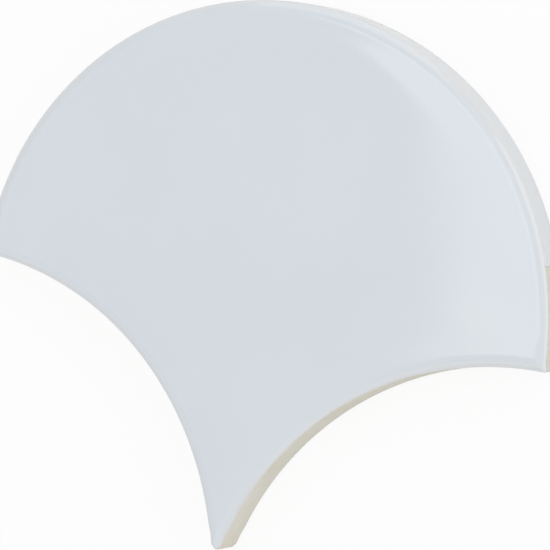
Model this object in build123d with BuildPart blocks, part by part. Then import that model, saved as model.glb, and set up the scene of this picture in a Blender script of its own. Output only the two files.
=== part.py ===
from build123d import *
import math
import os

# Fish scale wall tile: one pressed and fired piece with a glazed face.
# The tile lies on its back with the face up. The origin is on the back plane,
# under the centre of the crown's arc. X is the width, Y runs up the wall
# towards the crown, and Z is the thickness. Lengths are in millimetres.

# Outline
crown_radius = 60.0     # round upper edge, half of the tile's width
joint = 1.0             # grout joint between neighbours in a laid wall
row_clearance = 0.4     # what a row's pitch adds to the crown's radius
tip_radius = 1.5        # blunt end of the tail, as wide as the press can fill

# Section
thickness = 8.5         # back plane to the flat of the face
rim_width = 2.5         # band in which the face rolls over to the wall
rim_slope = 53.0        # degrees, how steep the roll is where its edge begins
edge_radius = 0.5       # small round between the roll and the wall
back_arris = 0.4        # chamfer round the back's edge

# Pressed key on the back, for the adhesive
key_pitch = 11.0        # one cell and one rib
key_rib = 2.5           # width of the ribs between the cells
key_depth = 0.8         # depth of the cells
key_border = 5.0        # smooth land kept inside the outline
least_cell_area = 6.0   # square millimetres, the smallest cell that is pressed
cutter_margin = 1.0     # how far a cutting tool stands clear of the tile

# A laid tile's two lower neighbours are centred half a pitch to each side and one
# row down. Each scallop is that neighbour's crown plus the joint.
half_pitch = crown_radius + joint / 2
row_pitch = crown_radius + row_clearance
scallop_radius = crown_radius + joint
scallop_centres = [(half_pitch, -row_pitch), (-half_pitch, -row_pitch)]

# An even count of cells puts a rib crossing under the crown's centre.
key_count = 2 * math.ceil(crown_radius / key_pitch)

# The roll is tangent to the face and to the edge round, which is tangent to the wall.
slope_sin = math.sin(math.radians(rim_slope))
slope_cos = math.cos(math.radians(rim_slope))
edge_inset = edge_radius * (1 - slope_sin)
roll_radius = (rim_width - edge_inset) / slope_sin
roll_end_z = thickness - roll_radius * (1 - slope_cos)
wall_top_z = roll_end_z - edge_radius * slope_cos


def rim_line(wall_x, inward):
    """Draw the rim's section from the face to the wall; inward is +1 or -1 along X."""
    face_point = (wall_x + inward * rim_width, thickness)
    roll_end = (wall_x + inward * edge_inset, roll_end_z)
    roll = TangentArc(face_point, roll_end, tangent=(-inward, 0))
    TangentArc(roll @ 1, (wall_x, wall_top_z), tangent=roll % 1)


with BuildPart() as fish_scale_tile:
    # The crown is a disc turned about its own axis, with the rim's roll in its section.
    with BuildSketch(Plane.XZ):
        with BuildLine():
            rim_line(crown_radius, -1)
            Polyline(
                (crown_radius, wall_top_z),
                (crown_radius, 0),
                (0, 0),
                (0, thickness),
                (crown_radius - rim_width, thickness),
            )
        make_face()
    revolve(axis=Axis.Z)

    # The neighbours' crowns leave the two scallops, which meet in the tail's blunt tip.
    with BuildSketch() as outline:
        Circle(crown_radius)
        with Locations(*scallop_centres):
            Circle(scallop_radius, mode=Mode.SUBTRACT)
        tip = outline.vertices().sort_by(Axis.Y)[0]
        fillet(tip, radius=tip_radius)
    extrude(amount=thickness, mode=Mode.INTERSECT)

    # The same rim runs along both scallops, so the rims mitre at the corners and the tip.
    for centre_x, centre_y in scallop_centres:
        with BuildSketch(Plane((centre_x, centre_y, 0), x_dir=(1, 0, 0), z_dir=(0, -1, 0))):
            with BuildLine():
                rim_line(scallop_radius, 1)
                Polyline(
                    (scallop_radius, wall_top_z),
                    (scallop_radius - cutter_margin, wall_top_z),
                    (scallop_radius - cutter_margin, thickness + cutter_margin),
                    (scallop_radius + rim_width, thickness + cutter_margin),
                    (scallop_radius + rim_width, thickness),
                )
            make_face()
        revolve(axis=Axis((centre_x, centre_y, 0), (0, 0, 1)), mode=Mode.SUBTRACT)

    # The back's edge is broken all round.
    back = fish_scale_tile.faces().sort_by(Axis.Z)[0]
    chamfer(back.outer_wire().edges(), length=back_arris)

    # Square cells are keyed into the back, inside a smooth land. The grid runs out
    # under the land, and a cell that is cut too small there stays filled.
    with BuildSketch(mode=Mode.PRIVATE) as key:
        with GridLocations(key_pitch, key_pitch, key_count, key_count):
            Rectangle(key_pitch - key_rib, key_pitch - key_rib)
        with BuildSketch(mode=Mode.INTERSECT):
            add(outline.sketch)
            offset(amount=-key_border)
    cells = [cell for cell in key.faces() if cell.area > least_cell_area]
    extrude(cells, amount=key_depth, mode=Mode.SUBTRACT)

tile_box = fish_scale_tile.part.bounding_box()
print("tile", tile_box.size.X, tile_box.size.Y, tile_box.size.Z)

os.makedirs("parts", exist_ok=True)
fish_scale_tile.part.label = "fish_scale_tile"
export_step(fish_scale_tile.part, "parts/fish_scale_tile.step")
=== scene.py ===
# %% [markdown]
# # A fish scale tile
# The real tile is one blank of buff clay, pressed, fired and glazed white on its face.
# The CAD model gives its true size and holds its place. This lesson gives it its looks:
# a smooth glaze that runs over a rolled rim, and a bare clay body where the glaze stops.
# The tile lies on its back. X is its width, Y runs up towards the crown, Z is its thickness.

# %% Load the model that everything is built around
import bmesh
import bpy
import math
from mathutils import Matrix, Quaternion, Vector, noise
from mathutils.geometry import delaunay_2d_cdt


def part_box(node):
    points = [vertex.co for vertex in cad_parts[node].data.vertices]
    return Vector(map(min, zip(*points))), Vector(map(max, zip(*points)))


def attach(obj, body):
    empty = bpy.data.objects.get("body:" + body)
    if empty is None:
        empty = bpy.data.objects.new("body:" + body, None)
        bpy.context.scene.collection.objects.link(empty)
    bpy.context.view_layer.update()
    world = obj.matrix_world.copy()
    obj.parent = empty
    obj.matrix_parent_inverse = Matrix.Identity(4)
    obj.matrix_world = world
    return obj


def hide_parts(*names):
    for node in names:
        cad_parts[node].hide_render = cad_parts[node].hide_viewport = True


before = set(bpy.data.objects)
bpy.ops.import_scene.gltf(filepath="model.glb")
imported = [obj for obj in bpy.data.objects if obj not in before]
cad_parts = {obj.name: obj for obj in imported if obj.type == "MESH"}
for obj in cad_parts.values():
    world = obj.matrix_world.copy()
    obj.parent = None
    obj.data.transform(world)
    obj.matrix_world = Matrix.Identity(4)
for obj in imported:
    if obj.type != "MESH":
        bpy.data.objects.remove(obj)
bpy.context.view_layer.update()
tile_low, tile_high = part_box("fish_scale_tile")
mm = 0.001
print("tile size in mm", [round(side / mm, 2) for side in tile_high - tile_low])

# %% [markdown]
# ## The outline
# A fish scale tile is a disc with two bites. Its crown is a round arc, and each lower side
# is the crown of the neighbour below it, plus a grout joint. A few sizes say all of it.
# The outline could be traced as points. Arcs are better, because one function then also
# gives every line inside it: the crown moves in and the bites move out by the same amount,
# and the two rims meet in a mitre at the corners, as they do on the real tile.

# %% The sizes of the outline, in metres
crown_radius = tile_high.y
thickness = tile_high.z
joint = 1.0 * mm
row_clearance = 0.4 * mm
tip_radius = 1.5 * mm
bite_radius = crown_radius + joint
bite_x = crown_radius + joint / 2
bite_y = -(crown_radius + row_clearance)
bite_apart = math.hypot(bite_x, bite_y)
tip_y = bite_y + math.sqrt((bite_radius + tip_radius) ** 2 - bite_x ** 2)
print("the tail ends at y =", round((tip_y - tip_radius) / mm, 2), "mm")


# %% Where the arcs meet at any inset from the edge
def right_corner(inset):
    """The crown moved in by inset meets the right bite moved out by the same amount."""
    crown = crown_radius - inset
    bite = bite_radius + inset
    along = (crown ** 2 - bite ** 2 + bite_apart ** 2) / (2 * bite_apart)
    across = math.sqrt(crown ** 2 - along ** 2)
    way_x = bite_x / bite_apart
    way_y = bite_y / bite_apart
    return Vector((way_x * along - way_y * across, way_y * along + way_x * across))


def tail(inset):
    """Height and radius of the blunt tip at this inset. Past its radius, the bites just cross."""
    if inset < tip_radius:
        return tip_y, tip_radius - inset
    return bite_y + math.sqrt((bite_radius + inset) ** 2 - bite_x ** 2), 0.0


corner = right_corner(0)
crown_turn = math.pi - 2 * math.atan2(corner.y, corner.x)
crown_length = crown_radius * crown_turn
bite_turn = math.atan2(tip_y - bite_y, -bite_x) - math.atan2(corner.y - bite_y, corner.x - bite_x)
bite_length = bite_radius * bite_turn
print("the right corner is at", [round(value / mm, 2) for value in corner], "mm")
print("crown and bite are", round(crown_length / mm, 1), round(bite_length / mm, 1), "mm long")

# %% [markdown]
# ## Columns of points round the edge
# The skin of the tile will be a net: columns run from the face over the rim and down the
# wall, side by side round the edge. They are closer together where something small happens:
# at the two corners, at the tail, and where the glaze on the crown's wall ends.

# %% Spread the columns
glazed_from = math.radians(19.4)
closest = 0.05 * mm
widest = 0.42 * mm
widening = 0.2
tip_steps = 20


def spread(length, crowded):
    """Shares of a length, closer together near the crowded places."""
    stops = [0.0]
    while stops[-1] < length:
        near = min(abs(stops[-1] - crowd) for crowd in crowded)
        stops.append(stops[-1] + min(widest, closest + widening * near))
    return [stop / stops[-1] for stop in stops[:-1]]


glaze_ends = crown_radius * (glazed_from - math.atan2(corner.y, corner.x))
crown_shares = spread(crown_length, (0.0, glaze_ends, crown_length - glaze_ends, crown_length))
bite_shares = spread(bite_length, (0.0, bite_length))
columns = [("crown", share) for share in crown_shares]
columns += [("left", share) for share in bite_shares]
columns += [("tip", step / tip_steps) for step in range(tip_steps)]
columns += [("right", 1 - share) for share in bite_shares]
print("columns of points round the edge:", len(columns))


# %% Soften the corners and slim the tail, as glaze and firing do
corner_softness = 0.30 * mm
tail_slims = 0.17 * mm
tail_slims_from = 4.7 * mm
tail_slims_over = 2.0 * mm
tip_slims = 0.26 * mm
tip_slims_from = 1.3 * mm
tip_slims_over = 0.9 * mm


def pull(distance, softness):
    """How far a bend draws in when it is blurred over this softness, at a distance from it."""
    part = distance / softness
    bell = math.exp(-part ** 2 / 2) / math.sqrt(2 * math.pi)
    return softness * bell - distance * math.erfc(part / math.sqrt(2)) / 2


def softened(spot, column):
    """A point near a corner, moved a little towards the inside of the bend."""
    part, share = column
    if part == "tip":
        return spot
    if part == "crown":
        from_corner = min(share, 1 - share) * crown_length
        side = 1 if share < 0.5 else -1
    else:
        from_corner = share * bite_length
        side = 1 if part == "right" else -1
    return spot + Vector((-side, 1)) * pull(from_corner, corner_softness)


def smooth(value):
    """0 up to 0, 1 from 1 on, and an S curve between."""
    value = min(1.0, max(0.0, value))
    return value * value * (3 - 2 * value)


def slimmed(spot):
    """A point of the tail, moved towards the middle line. All other points stay."""
    above_tip = spot.y - (tip_y - tip_radius)
    amount = tail_slims * smooth((tail_slims_from - above_tip) / tail_slims_over)
    amount += tip_slims * smooth((tip_slims_from - above_tip) / tip_slims_over)
    side = max(-1.0, min(1.0, spot.x / tip_radius))
    return Vector((spot.x - side * amount, spot.y))


print("a corner draws in by", round(pull(0.0, corner_softness) / mm, 3), "mm each way")


# %% One point of the outline, at any inset
def place(column, inset):
    """Where a column of points stands at this inset from the edge."""
    part, share = column
    corner_at = right_corner(inset)
    if part == "crown":
        start = math.atan2(corner_at.y, corner_at.x)
        angle = start + (math.pi - 2 * start) * share
        spot = Vector((math.cos(angle), math.sin(angle))) * (crown_radius - inset)
        return softened(spot, column)
    tail_y, tail_radius = tail(inset)
    if part == "tip":
        first = math.atan2(bite_y - tip_y, -bite_x)
        angle = first + (-math.pi - 2 * first) * share
        spot = Vector((math.cos(angle), math.sin(angle))) * tail_radius
        return slimmed(spot + Vector((0.0, tail_y)))
    high = math.atan2(corner_at.y - bite_y, corner_at.x - bite_x)
    low = math.atan2(tail_y - bite_y, -bite_x)
    angle = high + (low - high) * share
    reach = bite_radius + inset
    spot = Vector((bite_x + math.cos(angle) * reach, bite_y + math.sin(angle) * reach))
    if part == "left":
        spot.x = -spot.x
    return slimmed(softened(spot, column))


edge_ring = [place(column, 0.0) for column in columns]
print("lowest point", round(min(point.y for point in edge_ring) / mm, 2), "mm")

# %% [markdown]
# ## The section of the rim
# Seen in section, the face is flat, rolls over in a wide arc, turns a small round edge, and
# drops as a plain wall to a broken edge at the back. A bevel could round the edge, but this
# line also says where the glaze stops, so it is written as one path, walked by its length.

# %% The sizes of the section
rim_width = 2.5 * mm
rim_slope = math.radians(53.0)
edge_radius = 0.5 * mm
back_arris = 0.4 * mm
edge_inset = edge_radius * (1 - math.sin(rim_slope))
roll_radius = (rim_width - edge_inset) / math.sin(rim_slope)
roll_end_z = thickness - roll_radius * (1 - math.cos(rim_slope))
wall_top_z = roll_end_z - edge_radius * math.cos(rim_slope)
roll_length = roll_radius * rim_slope
wall_starts = roll_length + edge_radius * (math.pi / 2 - rim_slope)
wall_ends = wall_starts + wall_top_z - back_arris
print("the wall runs from", round(wall_starts / mm, 2), "to", round(wall_ends / mm, 2), "mm")


# %% Walk along the section
def section(length):
    """Inset, height and slope of the surface at this length from the rim's inner line."""
    if length <= roll_length:
        slope = length / roll_radius
        height = thickness - roll_radius * (1 - math.cos(slope))
        return rim_width - roll_radius * math.sin(slope), height, slope
    if length <= wall_starts:
        slope = rim_slope + (length - roll_length) / edge_radius
        height = wall_top_z + edge_radius * math.cos(slope)
        return edge_radius * (1 - math.sin(slope)), height, slope
    return 0.0, wall_top_z - (length - wall_starts), math.pi / 2


for length in (0.0, roll_length, wall_starts, wall_ends):
    inset, height, slope = section(length)
    print("inset", round(inset / mm, 2), "height", round(height / mm, 2))
    print("slope", round(math.degrees(slope)), "degrees")

# %% [markdown]
# ## The shoulder of the face
# A few millimetres from its edge the face already falls away very slightly, where the press
# and the melting glaze have rounded it. It is too little to see as a shape, but a mirror
# finish turns it into the bent edge of a reflection. The fall is an S curve over the
# distance from each of the three arcs. Adding the three leaves no crease at the corners, and
# a faint ripple lies over it all.

# %% How far the glazed surface lies under the flat of the face
shoulder_fall = 0.16 * mm
shoulder_middle = 4.4 * mm
shoulder_spread = 0.95 * mm
ripple_height = 0.002 * mm
ripple_size = 17.0 * mm


def wander(point, size, seed):
    """Smooth noise from -1 to 1 that changes over about this size."""
    return noise.noise(Vector((point.x / size, point.y / size, seed)))


def fall(point):
    """The fall of the surface at a point of the face or the rim."""
    from_crown = crown_radius - point.length
    from_right = (point - Vector((bite_x, bite_y))).length - bite_radius
    from_left = (point - Vector((-bite_x, bite_y))).length - bite_radius
    near = [max(0.0, away) for away in (from_crown, from_right, from_left)]
    steps = [1 / (1 + math.exp((away - shoulder_middle) / shoulder_spread)) for away in near]
    drop = shoulder_fall * sum(steps)
    return drop + ripple_height * (1 + wander(point, ripple_size, seed=4.0))


inner_line = Vector((0, crown_radius - rim_width))
print("fall at the rim's inner line", round(fall(inner_line) / mm, 3), "mm")

# %% [markdown]
# ## Where the glaze stops
# On the lower sides the glaze ends in a thin wavering lip at the foot of the roll, and the
# wall under it is bare clay. Towards the left and right corners it has run a little lower,
# round the edge. On the crown it runs on down the wall like a curtain, up to a sharp end
# near each corner. Colour alone could mark the line, but the real glaze stands proud of the
# clay and its edge catches light. So the net knows how much glaze covers each point, and
# the clay is sunk by the thickness of the glaze where there is none.

# %% The sizes of the glaze
glaze_thickness = 0.14 * mm
lip_width = 0.10 * mm
dry_line = 2.50 * mm
dry_foot = 0.16 * mm
wet_line = wall_ends - dry_foot
corner_run = 0.50 * mm
bite_run_over = 36.0 * mm
crown_run_over = 1.5 * mm
run_steepness = 1.5
slow_waver = 0.09 * mm
slow_waver_size = 4.0 * mm
quick_waver = 0.04 * mm
quick_waver_size = 1.2 * mm
curtain_waver = 0.10 * mm
curtain_waver_size = 1.3 * mm


def run_at(column):
    """How much further down the glaze has run: most at a corner, none beyond the run's reach."""
    part, share = column
    if part == "tip":
        return 0.0
    if part == "crown":
        away = min(share, 1 - share) * crown_length / crown_run_over
    else:
        away = share * bite_length / bite_run_over
    return corner_run * smooth(run_steepness * (1 - away))


def dry_line_at(column):
    """Length along the section where the lip is, wavering round the tile."""
    spot = place(column, 0.0)
    drift = slow_waver * wander(spot, slow_waver_size, seed=1.0)
    drift += quick_waver * wander(spot, quick_waver_size, seed=2.0)
    return dry_line + run_at(column) + drift


def curtain(column, height):
    """1 on the glazed wall of the crown and 0 on bare walls, rounded off at the curtain's ends."""
    if column[0] != "crown":
        return 0.0
    spot = place(column, 0.0)
    angle = math.atan2(spot.y, abs(spot.x))
    waver = curtain_waver * wander(Vector((height, spot.x)), curtain_waver_size, seed=3.0)
    into = (crown_radius * (angle - glazed_from) + waver) / (2 * lip_width)
    into = min(1.0, max(0.0, into))
    return math.sqrt(1 - (1 - into) ** 2)


line_lengths = [dry_line_at(column) / mm for column in columns]
print("the lip lies from", round(min(line_lengths), 2), "to", round(max(line_lengths), 2), "mm")


# %% How far bare clay is sunk
sink_fades_over = 1.1 * mm


def bare_depth(column, length, line):
    """The sink of bare clay: the glaze's thickness at the lip, and none lower on a bare wall."""
    spot = place(column, 0.0)
    angle = math.atan2(spot.y, abs(spot.x))
    on_wall = 0.0
    if column[0] == "crown":
        on_wall = min(1.0, angle / glazed_from)
    near_lip = max(0.0, 1 - (length - line) / sink_fades_over)
    return glaze_thickness * (on_wall + (1 - on_wall) * near_lip)


sunk_at_lip = bare_depth(("left", 0.5), dry_line, dry_line)
print("bare clay under the lip is sunk", round(sunk_at_lip / mm, 2), "mm")

# %% [markdown]
# ## One slice, repeated
# A slice is what a saw would show at one column: rows of points from the flat of the face to
# the back. Each row has an inset, a height and its cover of glaze. Repeating the slice round
# the outline makes the whole rim, with its rows in line along each arc, so reflections run
# clean along it. A remesh or a bevel would break them up.

# %% The rows of a slice
face_rows = 12
face_inset = 9.0 * mm
face_crowding = 1.5
roll_rows = 16
lip_rows = 4
wall_rows = 16
wall_crowding = 1.4


def lip_cover(step):
    """Cover of glaze down the rounded front of the lip."""
    return math.sqrt(max(0.0, 1 - (step / lip_rows) ** 2))


def slice_of(column):
    """Rows of a column: (inset, height, cover of glaze)."""
    rows = []
    for step in range(face_rows):
        part = (1 - step / face_rows) ** face_crowding
        rows.append((rim_width + (face_inset - rim_width) * part, thickness, 1.0))
    line = dry_line_at(column)
    walk = [(line * step / roll_rows, 1.0) for step in range(roll_rows + 1)]
    for step in range(1, lip_rows + 1):
        walk.append((line + lip_width * step / lip_rows, lip_cover(step)))
    first = line + lip_width
    for step in range(1, wall_rows + 1):
        part = (step / wall_rows) ** wall_crowding
        walk.append((first + (wet_line - first) * part, 0.0))
    for length, cover in walk:
        inset, height, slope = section(length)
        cover = max(cover, curtain(column, height))
        sunk = (1 - cover) * bare_depth(column, length, line)
        rows.append((inset + sunk * math.sin(slope), height - sunk * math.cos(slope), cover))
    return rows


print("rows so far", len(slice_of(columns[0])))


# %% The foot of the wall and the broken edge at the back
arris_rows = 2
most_worn = 0.5
wear_size = 2.3 * mm


def foot_of(column):
    """Rows from the foot of the glaze to the back: (inset, height, cover of glaze)."""
    rows = []
    line = dry_line_at(column)
    hung = curtain(column, back_arris)
    for step in range(1, lip_rows + 1):
        cover = hung * lip_cover(step)
        length = wet_line + lip_width * step / lip_rows
        sunk = (1 - cover) * bare_depth(column, length, line)
        rows.append((sunk, section(length)[1], cover))
    start = rows[-1][0]
    wear = max(0.0, wander(place(column, 0.0), wear_size, seed=5.0))
    worn = back_arris * (1 + most_worn * wear)
    for step in range(arris_rows + 1):
        part = step / arris_rows
        rows.append((start + (worn - start) * part, back_arris * (1 - part), 0.0))
    return rows


print("rows at the foot", len(foot_of(columns[0])))

# %% Turn the slices into points
grain_height = 0.02 * mm
grain_size = 0.9 * mm
net = []
covers = []
for column in columns:
    rows = slice_of(column) + foot_of(column)
    strip = []
    for inset, height, cover in rows:
        spot = place(column, inset)
        if cover == 0.0 and 0 < height < wall_top_z:
            grain = noise.noise(Vector((spot.x, spot.y, height)) / grain_size)
            spot = place(column, inset + grain_height * (1 + grain))
        up_the_wall = (height - back_arris) / (wall_top_z - back_arris)
        settle = fall(spot) * min(1.0, max(0.0, up_the_wall))
        strip.append(Vector((spot.x, spot.y, height - settle)))
    net.append(strip)
    covers.append([row[2] for row in rows])
print("points in the net", len(net) * len(net[0]))

# %% [markdown]
# ## The middle of the face
# Inside the innermost row, only a gently falling surface is left. A single flat polygon
# would not hold the ripple, so a loose grid of points is joined to the net by a Delaunay
# triangulation, which gives the evenest triangles that these points allow.

# %% Points on the face and the triangles between them
face_pitch = 3.0 * mm
row_share = 0.87
ring_clearance = 0.6 * face_pitch
inside_only = 1
same_spot = 1e-7


def inset_of(point):
    """The least distance of a point from the three arcs of the outline."""
    from_crown = crown_radius - point.length
    from_bite = (Vector((abs(point.x), point.y)) - Vector((bite_x, bite_y))).length - bite_radius
    return min(from_crown, from_bite)


def flat_grid(pitch, least_inset):
    """A grid of points that keep away from the edge by least_inset."""
    reach = math.ceil(crown_radius / pitch)
    spots = []
    for row in range(-reach, reach + 1):
        for step in range(-reach, reach + 1):
            spot = Vector(((step + 0.5 * (row % 2)) * pitch, row * pitch * row_share))
            if inset_of(spot) > least_inset:
                spots.append(spot)
    return spots


inner_ring = [Vector((strip[0].x, strip[0].y)) for strip in net]
face_spots = inner_ring + flat_grid(face_pitch, face_inset + ring_clearance)
ring_face = list(range(len(inner_ring)))
filled = delaunay_2d_cdt(face_spots, [], [ring_face], inside_only, same_spot)
face_points = filled[0]
face_triangles = filled[2]
face_sources = filled[3]
print("triangles on the middle of the face", len(face_triangles))

# %% [markdown]
# ## The pressed key on the back
# The back of a pressed tile is stamped with shallow cells, so that adhesive grips it. The
# cells are squares on an even pitch, cut off where they come near the edge. Cutting them
# with booleans gives poor faces, so each cell is worked out as a loop of points, its corners
# are eased, and copies of the loop step down to its floor.

# %% The outline of each cell
key_pitch = 11.0 * mm
key_rib = 2.5 * mm
key_depth = 0.8 * mm
key_border = 5.0 * mm
least_cell_area = 6.0 * mm * mm
loop_spacing = 0.7 * mm
least_loop_points = 8
easing_rounds = 3


def cut(shape, direction, limit):
    """The part of a shape where direction . point is under limit."""
    kept = []
    for here, after in zip(shape, shape[1:] + shape[:1]):
        over = here.dot(direction) - limit
        over_after = after.dot(direction) - limit
        if over <= 0:
            kept.append(here)
        if over * over_after < 0:
            kept.append(here.lerp(after, over / (over - over_after)))
    return kept


def area_of(shape):
    """Area inside a loop of points."""
    return sum(here.cross(after) for here, after in zip(shape, shape[1:] + shape[:1])) / 2


land_edge = [place(column, key_border) for column in columns[::2]]
key_side = key_pitch - key_rib
cell_shapes = []
cells_across = math.ceil(crown_radius / key_pitch)
for across in range(-cells_across, cells_across):
    for up in range(-cells_across, cells_across):
        middle = Vector((across + 0.5, up + 0.5)) * key_pitch
        shape = land_edge
        for direction in (Vector((1, 0)), Vector((-1, 0)), Vector((0, 1)), Vector((0, -1))):
            shape = cut(shape, direction, direction.dot(middle) + key_side / 2)
        if len(shape) > 2 and area_of(shape) > least_cell_area:
            cell_shapes.append(shape)
print("cells pressed into the back", len(cell_shapes))


# %% Ease the corners of a cell and draw it in
def evened(shape, spacing):
    """The same loop with its points at an even spacing."""
    sides = [(after - here).length for here, after in zip(shape, shape[1:] + shape[:1])]
    count = max(least_loop_points, round(sum(sides) / spacing))
    step = sum(sides) / count
    points = []
    walked = 0.0
    for here, after, side in zip(shape, shape[1:] + shape[:1], sides):
        while len(points) < count and len(points) * step <= walked + side:
            points.append(here.lerp(after, (len(points) * step - walked) / side if side else 0.0))
        walked += side
    return points


def eased(shape, times):
    """The same loop with its corners rounded by averaging neighbours."""
    for _ in range(times):
        before = shape[-1:] + shape[:-1]
        after = shape[1:] + shape[:1]
        shape = [(a + 2 * here + b) / 4 for a, here, b in zip(before, shape, after)]
    return shape


def drawn_in(shape, amount):
    """The loop moved inwards by this amount."""
    moved = []
    for i, point in enumerate(shape):
        way = (shape[(i + 1) % len(shape)] - shape[i - 1]).normalized()
        moved.append(point + Vector((-way.y, way.x)) * amount)
    return moved


cell_loops = [eased(evened(shape, loop_spacing), easing_rounds) for shape in cell_shapes]
print("points round the first cell", len(cell_loops[0]))

# %% [markdown]
# ## Join it all into one mesh
# The net, the face, the land of the back and the cells share their edge points, so the tile
# is one closed skin, as it is one piece of clay. Blender's bmesh holds it while it is built.
# Each face is given glaze or clay by its cover, and two numbers are kept on every point for
# the materials: how thin the glaze lies there, and how much pale dust the kiln shelf left.

# %% Points and faces of the net
glazed = 0
bare = 1
least_cover = 0.25
lip_front = 0.3
skin = bmesh.new()
net_verts = [[skin.verts.new(point) for point in strip] for strip in net]
count = len(columns)
rows_in_net = len(net[0])
for i in range(count):
    j = (i + 1) % count
    for k in range(rows_in_net - 1):
        corners = (net_verts[i][k], net_verts[i][k + 1], net_verts[j][k + 1], net_verts[j][k])
        face = skin.faces.new(corners)
        cover = max(covers[i][k], covers[i][k + 1], covers[j][k + 1], covers[j][k])
        below = max(covers[i][k + 1], covers[j][k + 1])
        covered = min(cover, below + lip_front) > least_cover
        face.material_index = glazed if covered else bare
print("faces in the net", len(skin.faces))

# %% The middle of the face
face_verts = []
for spot, sources in zip(face_points, face_sources):
    if sources and sources[0] < count:
        face_verts.append(net_verts[sources[0]][0])
    else:
        face_verts.append(skin.verts.new((spot.x, spot.y, thickness - fall(spot))))
for triangle in face_triangles:
    skin.faces.new([face_verts[corner_number] for corner_number in triangle])
print("faces with the middle", len(skin.faces))

# %% The land of the back, with its cells left open
back_ring = [Vector((strip[-1].x, strip[-1].y)) for strip in net]
back_spots = list(back_ring)
back_faces = [list(range(count))]
for loop in cell_loops:
    start = len(back_spots)
    back_spots += loop
    back_faces.append(list(range(start, len(back_spots))))
filled = delaunay_2d_cdt(back_spots, [], back_faces, inside_only, same_spot)
back_verts = [strip[-1] for strip in net_verts]
back_verts += [skin.verts.new((spot.x, spot.y, 0.0)) for spot in filled[0][count:]]
print("points merged on the back", len(back_spots) - len(filled[0]))
for triangle, owners in zip(filled[2], filled[5]):
    if len(owners) == 1:
        face = skin.faces.new([back_verts[corner_number] for corner_number in reversed(triangle)])
        face.material_index = bare
print("faces with the land", len(skin.faces))

# %% The cells, stepped down to their floors
cell_steps = [(0.05, 0.0375), (0.13, 0.175), (0.24, 0.775), (0.33, 0.9375), (0.50, 1.0)]
least_side = 2e-6
start = count
for loop in cell_loops:
    above = back_verts[start:start + len(loop)]
    start += len(loop)
    for inward, depth_share in cell_steps:
        points = drawn_in(loop, inward * mm)
        ring = [skin.verts.new((point.x, point.y, depth_share * key_depth)) for point in points]
        for i in range(len(ring)):
            j = (i + 1) % len(ring)
            face = skin.faces.new((above[i], above[j], ring[j], ring[i]))
            face.material_index = bare
        above = ring
    floor_face = skin.faces.new(list(reversed(above)))
    floor_face.material_index = bare
bmesh.ops.remove_doubles(skin, verts=skin.verts, dist=same_spot)
bmesh.ops.dissolve_degenerate(skin, edges=skin.edges, dist=least_side)
bmesh.ops.recalc_face_normals(skin, faces=skin.faces)
open_edges = sum(not edge.is_manifold for edge in skin.edges)
print("faces in all", len(skin.faces), "open edges", open_edges)

# %% Two numbers on every point, for the materials
thin_from = 1.7 * mm
thin_to = 0.1 * mm
dust_reach = 1.1 * mm
thin_glaze = skin.verts.layers.float.new("thin_glaze")
kiln_dust = skin.verts.layers.float.new("kiln_dust")
for vert in skin.verts:
    inset = inset_of(Vector((vert.co.x, vert.co.y)))
    vert[thin_glaze] = smooth((thin_from - inset) / (thin_from - thin_to))
    vert[kiln_dust] = smooth(1 - abs(vert.co.z) / dust_reach)
print("points in all", len(skin.verts))

# %% The tile as an object in the place of its CAD solid
sharp_from = math.radians(38)
tile_mesh = bpy.data.meshes.new("glazed_tile")
skin.to_mesh(tile_mesh)
skin.free()
tile_mesh.shade_smooth()
tile_mesh.set_sharp_from_angle(angle=sharp_from)
tile = bpy.data.objects.new("glazed_tile", tile_mesh)
bpy.context.scene.collection.objects.link(tile)
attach(tile, "root")
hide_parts("fish_scale_tile")
tile_mesh.calc_loop_triangles()
print("triangles", len(tile_mesh.loop_triangles))

# %% [markdown]
# ## A helper for materials
# A material is a small graph. Adding its nodes by hand takes many lines, so one helper adds
# a node, sets it, and plugs in numbers or the outputs of other nodes.

# %% Add one node
def add(tree, kind, plugs=None, **settings):
    """Add a node of this kind. plugs maps sockets to a value or to another node's output."""
    made = tree.nodes.new(kind)
    for name, value in settings.items():
        setattr(made, name, value)
    for name, value in (plugs or {}).items():
        if isinstance(value, bpy.types.NodeSocket):
            tree.links.new(value, made.inputs[name])
        else:
            made.inputs[name].default_value = value
    return made


def blend_colours(tree, share, first, second):
    """A colour that goes from first to second as share goes from 0 to 1."""
    made = add(tree, "ShaderNodeMix", {0: share, 6: first, 7: second}, data_type="RGBA")
    return made.outputs[2]


def ranged(tree, value, low, high, to_low, to_high, **settings):
    """A number moved from one range to another, and kept inside it."""
    plugs = {0: value, 1: low, 2: high, 3: to_low, 4: to_high}
    return add(tree, "ShaderNodeMapRange", plugs, **settings).outputs[0]


def stored(tree, name):
    """A number that is stored on every point of the mesh."""
    return add(tree, "ShaderNodeAttribute", attribute_name=name).outputs["Fac"]


def noise_of(tree, at, scale, detail=2.0):
    """Smooth noise round 0.5 on the object's own coordinates, so many waves to the metre."""
    plugs = {"Vector": at, "Scale": scale, "Detail": detail}
    return add(tree, "ShaderNodeTexNoise", plugs).outputs[0]


def new_material(name):
    """A material with an empty graph, its shader and its coordinates."""
    material = bpy.data.materials.new(name)
    material.use_nodes = True
    tree = material.node_tree
    tree.nodes.clear()
    output = add(tree, "ShaderNodeOutputMaterial")
    return material, tree, output, add(tree, "ShaderNodeTexCoord").outputs["Object"]


print("helpers ready")

# %% [markdown]
# ## White glaze
# The glaze is a cold white glass over buff clay. It is almost a mirror, so most of its look
# comes from the lamps. One flat colour would look like plastic, so the material adds what is
# in the glass itself: faint clouds, a warmer tone where it runs thin at the lip, and a
# polish that is not the same everywhere.

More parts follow.
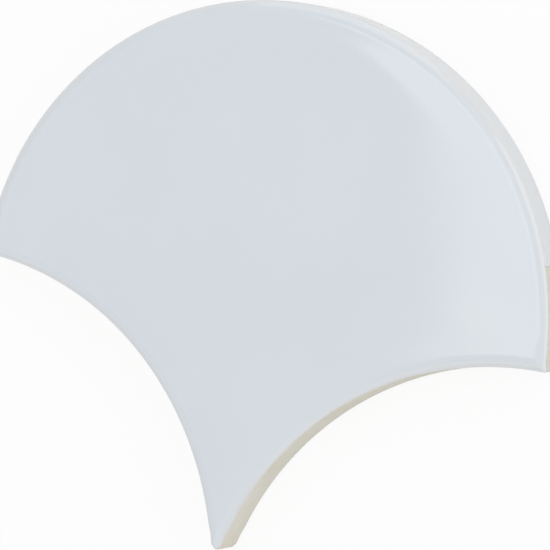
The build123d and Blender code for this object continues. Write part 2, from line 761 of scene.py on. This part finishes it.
# %% The glaze
glaze, tree, output, at = new_material("white_glaze")
cold_white = (0.648, 0.699, 0.750, 1.0)
soft_white = (0.660, 0.708, 0.750, 1.0)
thin_white = (0.664, 0.685, 0.706, 1.0)
cloud_noise = noise_of(tree, at, scale=38.0, detail=3.0)
clouds = ranged(tree, cloud_noise, low=0.35, high=0.65, to_low=0.0, to_high=1.0)
tone = blend_colours(tree, clouds, cold_white, soft_white)
tone = blend_colours(tree, stored(tree, "thin_glaze"), tone, thin_white)
peel = noise_of(tree, at, scale=420.0, detail=1.0)
bump = add(tree, "ShaderNodeBump", {"Strength": 1.0, "Distance": 0.001 * mm, "Height": peel})
polish_noise = noise_of(tree, at, scale=90.0, detail=2.0)
polish = ranged(tree, polish_noise, low=0.3, high=0.7, to_low=0.042, to_high=0.056)
plugs = {"Base Color": tone, "Roughness": polish, "Normal": bump.outputs[0], "IOR": 1.52}
shader = add(tree, "ShaderNodeBsdfPrincipled", plugs)
tree.links.new(shader.outputs[0], output.inputs[0])
tile_mesh.materials.append(glaze)
print("glaze nodes", len(tree.nodes))

# %% [markdown]
# ## Bare clay
# Fired clay is matt, buff and finely grained, with small dark specks. A photograph of clay
# could be wrapped round the tile, but noises need no picture and fit any size. Broad patches
# give the body its drift of colour, dust from the kiln shelf makes it paler near the back,
# and a fine grain gives the specks. The same grain lifts and sinks the surface, so that
# light and colour agree.

# %% The clay
clay, tree, output, at = new_material("buff_clay")
buff = (0.640, 0.612, 0.525, 1.0)
pale = (0.665, 0.645, 0.590, 1.0)
dusty = (0.645, 0.635, 0.605, 1.0)
dark = (0.49, 0.46, 0.39, 1.0)
patch_noise = noise_of(tree, at, scale=160.0, detail=4.0)
patches = ranged(tree, patch_noise, low=0.35, high=0.65, to_low=0.0, to_high=1.0)
grains = noise_of(tree, at, scale=2600.0, detail=3.0)
specks = ranged(tree, grains, low=0.30, high=0.42, to_low=0.5, to_high=0.0)
tone = blend_colours(tree, patches, buff, pale)
tone = blend_colours(tree, stored(tree, "kiln_dust"), tone, dusty)
tone = blend_colours(tree, specks, tone, dark)
bump = add(tree, "ShaderNodeBump", {"Strength": 1.0, "Distance": 0.04 * mm, "Height": grains})
plugs = {"Base Color": tone, "Roughness": 0.9, "Normal": bump.outputs[0], "IOR": 1.45}
shader = add(tree, "ShaderNodeBsdfPrincipled", plugs)
tree.links.new(shader.outputs[0], output.inputs[0])
tile_mesh.materials.append(clay)
print("clay nodes", len(tree.nodes))

# %% [markdown]
# ## The floor
# The tile lies on a plain white floor. Its colour alone would render a little grey, so rays
# that show it see it mixed with a plain white. The rest of the mix is the real floor, which
# keeps the tile's soft shadow. The mix is weaker in mirrors: the glazed wall mirrors the
# floor close to its own foot, and that strip lies in the tile's shadow.

# %% Lay the floor
floor_reach = 8.0
floor_drop = 0.02 * mm
floor_mesh = bpy.data.meshes.new("floor")
sides = ((-1, -1), (1, -1), (1, 1), (-1, 1))
floor_corners = [(x * floor_reach, y * floor_reach, -floor_drop) for x, y in sides]
floor_mesh.from_pydata(floor_corners, [], [(0, 1, 2, 3)])
floor = bpy.data.objects.new("floor", floor_mesh)
bpy.context.scene.collection.objects.link(floor)
print("floor is", 2 * floor_reach, "m wide")


# %% A white that keeps the shadow
def scaled(tree, value, factor):
    """A number times a factor."""
    return add(tree, "ShaderNodeMath", {0: value, 1: factor}, operation="MULTIPLY").outputs[0]


def seen_directly(tree, in_mirrors=1.0):
    """1 for rays that show a surface, from the camera or through glass, and less in mirrors."""
    path = add(tree, "ShaderNodeLightPath")
    mirrored = scaled(tree, path.outputs["Is Glossy Ray"], in_mirrors)
    total = path.outputs["Is Camera Ray"]
    for shown in (mirrored, path.outputs["Is Transmission Ray"]):
        total = add(tree, "ShaderNodeMath", {0: total, 1: shown}, operation="MAXIMUM").outputs[0]
    return total


white_share = 0.88
mirrored_white = 0.35
paper_white = (0.88, 0.88, 0.88, 1.0)
material, tree, output, at = new_material("white_floor")
paper = add(tree, "ShaderNodeBsdfDiffuse", {"Color": paper_white})
white = add(tree, "ShaderNodeEmission", {"Strength": 1.0})
share = scaled(tree, seen_directly(tree, mirrored_white), white_share)
mixed = add(tree, "ShaderNodeMixShader", {0: share, 1: paper.outputs[0], 2: white.outputs[0]})
tree.links.new(mixed.outputs[0], output.inputs[0])
floor_mesh.materials.append(material)
print("the floor is", white_share, "plain white for the camera")

# %% [markdown]
# ## The lamps
# A glossy tile is lit by what it mirrors. A soft box hangs overhead, slightly turned, and
# the face mirrors its left edge, which makes the pale zone on the right. Two wide cards
# stand low on the right and behind the crown, and the rolled rim mirrors each of them as a
# thin bright line. Two dim cards lift the lower sides. Small strong lamps would only leave
# hot spots on such a glaze. Each lamp is given by its brightness as the tile sees it, and its
# edges fade out, as they do on cloth with a bulb behind it. A lamp with pi watts for each
# square metre has a brightness of one.

# %% Hang a lamp
aim_point = Vector((0.0, 0.01, thickness))


def out_from_tile(azimuth, elevation, distance):
    """A point in the room, by its direction from the tile in degrees and its distance."""
    turn = math.radians(azimuth)
    rise = math.radians(elevation)
    way = Vector((math.cos(turn), math.sin(turn), 0.0)) * math.cos(rise)
    way.z = math.sin(rise)
    return aim_point + way * distance


def faded_edges(tree, size, fade):
    """1 in the middle of a lamp, and down to 0 over the last of its width and height."""
    spot = add(tree, "ShaderNodeNewGeometry").outputs["Parametric"]
    across = add(tree, "ShaderNodeSeparateXYZ", {0: spot})
    shares = []
    for side, length in enumerate(size):
        plugs = {0: across.outputs[side], 1: 0.5}
        off = add(tree, "ShaderNodeMath", plugs, operation="SUBTRACT").outputs[0]
        off = add(tree, "ShaderNodeMath", {0: off}, operation="ABSOLUTE").outputs[0]
        start = 0.5 - fade / length
        shares.append(ranged(tree, off, start, 0.5, 1.0, 0.0, interpolation_type="SMOOTHSTEP"))
    return scaled(tree, shares[0], shares[1])


def hang_lamp(name, centre, size, fade, brightness, turn=0.0, flat=False):
    """A rectangular lamp of this brightness that faces the tile, or straight down if flat."""
    data = bpy.data.lights.new(name, "AREA")
    data.shape = "RECTANGLE"
    data.size = size[0]
    data.size_y = size[1]
    data.energy = brightness * math.pi * size[0] * size[1]
    data.use_nodes = True
    tree = data.node_tree
    tree.nodes.clear()
    glow = add(tree, "ShaderNodeEmission", {"Strength": faded_edges(tree, size, fade)})
    output = add(tree, "ShaderNodeOutputLight")
    tree.links.new(glow.outputs[0], output.inputs[0])
    lamp = bpy.data.objects.new(name, data)
    bpy.context.scene.collection.objects.link(lamp)
    lamp.location = centre
    facing = Vector((0, 0, 1)) if flat else (Vector(centre) - aim_point).normalized()
    turned = Quaternion((0, 0, 1), math.radians(turn))
    lamp.rotation_mode = "QUATERNION"
    lamp.rotation_quaternion = facing.to_track_quat("Z", "Y") @ turned
    lamp.visible_camera = False
    print(name, "power", round(data.energy, 2), "W")
    return lamp


print("lamps face", [round(value, 4) for value in aim_point])

# %% The soft box overhead
overhead = hang_lamp(
    "overhead_box",
    centre=(-0.066, 0.156, 1.0),
    size=(0.70, 0.62),
    fade=0.035,
    brightness=1.42,
    turn=14.4,
    flat=True,
)
overhead.data.color = (1.02, 1.0, 0.95)

# %% The cards round the tile: azimuth, elevation, distance, size, fade and brightness
cards = {
    "right_card": (18, 23, 2.0, (3.1, 0.94), 0.10, 1.58),
    "upper_card": (102, 21, 2.0, (1.78, 1.38), 0.12, 1.0),
    "lower_card": (-80, 24, 2.4, (2.6, 1.5), 0.30, 0.72),
    "left_card": (-146, 24, 2.4, (2.8, 1.5), 0.30, 0.5),
}
for name, (azimuth, elevation, distance, size, fade, brightness) in cards.items():
    hang_lamp(name, out_from_tile(azimuth, elevation, distance), size, fade, brightness)

# %% [markdown]
# ## The room
# All that is not a lamp is a dim even room, which lights the tile softly from every side. Low
# down, where the floor ends far away, it is seen as plain white, like a paper backdrop. A
# picture of a room would add spots that the tile mirrors, so the room has none.

# %% The dim room and its white backdrop
room_level = 0.655
backdrop_from = 0.12
backdrop_full = 0.06
world = bpy.data.worlds.new("room")
world.use_nodes = True
tree = world.node_tree
tree.nodes.clear()
way = add(tree, "ShaderNodeTexCoord").outputs["Generated"]
height = add(tree, "ShaderNodeSeparateXYZ", {0: way}).outputs["Z"]
backdrop = ranged(tree, height, low=backdrop_full, high=backdrop_from, to_low=1.0, to_high=0.0)
share = scaled(tree, seen_directly(tree), backdrop)
room = add(tree, "ShaderNodeBackground", {"Strength": room_level})
white = add(tree, "ShaderNodeBackground", {"Strength": 1.0})
for background in (room, white):
    background.inputs["Color"].default_value = (1.0, 1.0, 1.0, 1.0)
mixed = add(tree, "ShaderNodeMixShader", {0: share, 1: room.outputs[0], 2: white.outputs[0]})
surface = add(tree, "ShaderNodeOutputWorld")
tree.links.new(mixed.outputs[0], surface.inputs[0])
bpy.context.scene.world = world
print("room level", room_level)

# %% [markdown]
# ## The camera
# The photograph was taken from above and to the right with a long lens, so the tile shows
# almost no perspective. The camera is placed by a direction from the tile, a distance and a
# roll, which is how a photographer would say it. The roll is nearly a quarter turn, because
# the tile's crown points to the top of the picture while the camera leans in from one side.

# %% Place the camera
aim = Vector((2.965, 8.160, 7.5)) * mm
camera_distance = 0.69681
camera_azimuth = math.radians(12.130)
camera_elevation = math.radians(65.431)
camera_roll = math.radians(-91.455)
level = Vector((math.cos(camera_azimuth), math.sin(camera_azimuth), 0.0))
towards = level * math.cos(camera_elevation)
towards.z = math.sin(camera_elevation)
camera_data = bpy.data.cameras.new("camera")
camera_data.lens = 239.365
camera_data.sensor_width = 36.0
camera_data.clip_start = 0.05
camera_data.clip_end = 50.0
camera = bpy.data.objects.new("camera", camera_data)
bpy.context.scene.collection.objects.link(camera)
camera.location = aim + towards * camera_distance
camera.rotation_mode = "QUATERNION"
rolled = Quaternion((0, 0, 1), camera_roll)
camera.rotation_quaternion = towards.to_track_quat("Z", "Y") @ rolled
bpy.context.scene.camera = camera
bpy.context.scene.view_settings.view_transform = "Standard"
print("camera at", [round(value, 4) for value in camera.location])
